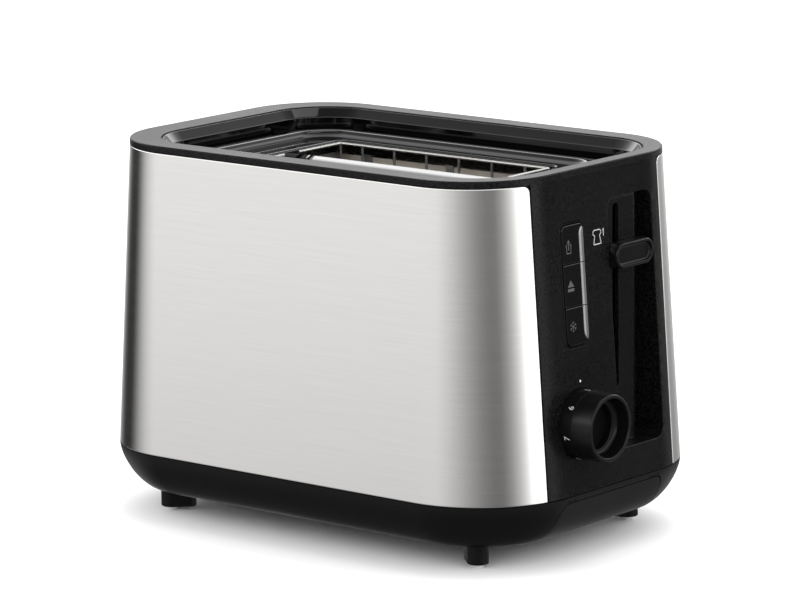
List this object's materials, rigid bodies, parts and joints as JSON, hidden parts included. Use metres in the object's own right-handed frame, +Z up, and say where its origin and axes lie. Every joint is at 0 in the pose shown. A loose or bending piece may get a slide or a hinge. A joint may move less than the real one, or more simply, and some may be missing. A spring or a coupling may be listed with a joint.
{
  "type": "pop up toaster",
  "caption": "Pop-up toaster with two bread slots, steel sides, black ends and bowl base, side lever, browning dial, push buttons and a slide-out crumb tray.",
  "frame": {"origin": "middle of the whole object's box, at the bottom of the foot pads", "axes": "+X towards the control end, -Y towards the front steel panel, +Z up"},
  "size_m": [0.3016, 0.1882, 0.2],
  "materials": {
    "textured_black": "fine spark-eroded texture",
    "base_black": "smooth satin",
    "gloss_black": "polished",
    "knob_black": "satin gloss",
    "brushed_steel": "brushed lengthwise",
    "bright_trim": "satin plated",
    "foot_pad": "translucent grey",
    "zinc_steel": "zinc plated sheet",
    "reflector_steel": "bright aluminised sheet",
    "wire_steel": "plated wire",
    "core_steel": "laminated electrical steel",
    "mica": "speckled mica sheet",
    "heater_ribbon": "oxidised resistance ribbon",
    "copper_wire": "enamelled copper winding",
    "board_green": "solder mask",
    "component_black": "moulded",
    "component_blue": "moulded",
    "terminal_cream": "moulded"
  },
  "bodies": {
    "root": {"top_rim": "textured_black", "slot_bezel": "gloss_black", "control_end_panel": "textured_black", "far_end_panel": "textured_black", "front_steel_panel": "brushed_steel", "rear_steel_panel": "brushed_steel", "base": "base_black", "foot_pads": "foot_pad", "cord_gland": "base_black", "base_screws": "zinc_steel", "guide_rod": "wire_steel", "lift_spring": "wire_steel", "upper_rod_bracket": "zinc_steel", "chassis_frame": "zinc_steel", "chassis_plate_control": "zinc_steel", "chassis_plate_far": "zinc_steel", "heat_shield_front": "reflector_steel", "heat_shield_rear": "reflector_steel", "heater_board_front": "mica", "heater_board_centre": "mica", "heater_board_rear": "mica", "heater_ribbon_front": "heater_ribbon", "heater_ribbon_centre": "heater_ribbon", "heater_ribbon_rear": "heater_ribbon", "heater_clips": "zinc_steel", "magnet_core": "core_steel", "magnet_coil": "copper_wire", "magnet_bracket": "zinc_steel", "mains_contacts": "terminal_cream", "circuit_board": "board_green", "push_switches": "component_black", "timer_capacitor": "component_black", "relay": "component_blue", "terminal_block": "terminal_cream", "board_posts": "component_black", "browning_pot": "component_blue", "button_bezel": "gloss_black"},
    "carriage": {"lever_knob": "knob_black", "carriage_bracket": "zinc_steel", "armature_plate": "core_steel", "bread_rack_front": "wire_steel", "bread_rack_rear": "wire_steel"},
    "dial": {"browning_dial": "knob_black", "dial_spindle": "zinc_steel"},
    "reheat_key": {"reheat_button": "gloss_black", "reheat_trim": "bright_trim"},
    "cancel_key": {"cancel_button": "gloss_black", "cancel_trim": "bright_trim"},
    "defrost_key": {"defrost_button": "gloss_black", "defrost_trim": "bright_trim"},
    "tray": {"crumb_tray_pan": "zinc_steel", "crumb_tray_front": "base_black"},
    "guard_fo": {"guard_front_outer": "wire_steel"},
    "guard_fi": {"guard_front_inner": "wire_steel"},
    "guard_ri": {"guard_rear_inner": "wire_steel"},
    "guard_ro": {"guard_rear_outer": "wire_steel"}
  },
  "joints": [
    {"name": "lever_slide", "type": "slide", "parent": "root", "child": "carriage", "axis": [0, 0, 1], "range_m": [-0.064, 0.015], "stiffness_N_per_m": 60, "springref_m": 0.02, "deforming": ["lift_spring"]},
    {"name": "dial_turn", "type": "hinge", "parent": "root", "child": "dial", "pos_m": [0.1419, -0.0245, 0.0718], "axis": [1, 0, 0], "range_deg": [-103, 206]},
    {"name": "reheat_press", "type": "slide", "parent": "root", "child": "reheat_key", "axis": [-1, 0, 0], "range_m": [0, 0.0016], "stiffness_N_per_m": 600, "springref_m": -0.0004},
    {"name": "cancel_press", "type": "slide", "parent": "root", "child": "cancel_key", "axis": [-1, 0, 0], "range_m": [0, 0.0016], "stiffness_N_per_m": 600, "springref_m": -0.0004},
    {"name": "defrost_press", "type": "slide", "parent": "root", "child": "defrost_key", "axis": [-1, 0, 0], "range_m": [0, 0.0016], "stiffness_N_per_m": 600, "springref_m": -0.0004},
    {"name": "crumb_tray_slide", "type": "slide", "parent": "root", "child": "tray", "axis": [1, 0, 0], "range_m": [0, 0.2]},
    {"name": "guard_fo_lean", "type": "hinge", "parent": "root", "child": "guard_fo", "pos_m": [-0.0081, -0.0405, 0.056], "axis": [1, 0, 0], "range_deg": [-2.3, 0.6]},
    {"name": "guard_fi_lean", "type": "hinge", "parent": "root", "child": "guard_fi", "pos_m": [-0.0081, -0.0155, 0.056], "axis": [1, 0, 0], "range_deg": [-0.6, 2.3]},
    {"name": "guard_ri_lean", "type": "hinge", "parent": "root", "child": "guard_ri", "pos_m": [-0.0081, 0.0155, 0.056], "axis": [1, 0, 0], "range_deg": [-2.3, 0.6]},
    {"name": "guard_ro_lean", "type": "hinge", "parent": "root", "child": "guard_ro", "pos_m": [-0.0081, 0.0405, 0.056], "axis": [1, 0, 0], "range_deg": [-0.6, 2.3]}
  ],
  "couplings": [
    {"joint": "guard_fo_lean", "follows": "lever_slide", "rad_per_m": 0.6},
    {"joint": "guard_fi_lean", "follows": "lever_slide", "rad_per_m": -0.6},
    {"joint": "guard_ri_lean", "follows": "lever_slide", "rad_per_m": 0.6},
    {"joint": "guard_ro_lean", "follows": "lever_slide", "rad_per_m": -0.6}
  ]
}
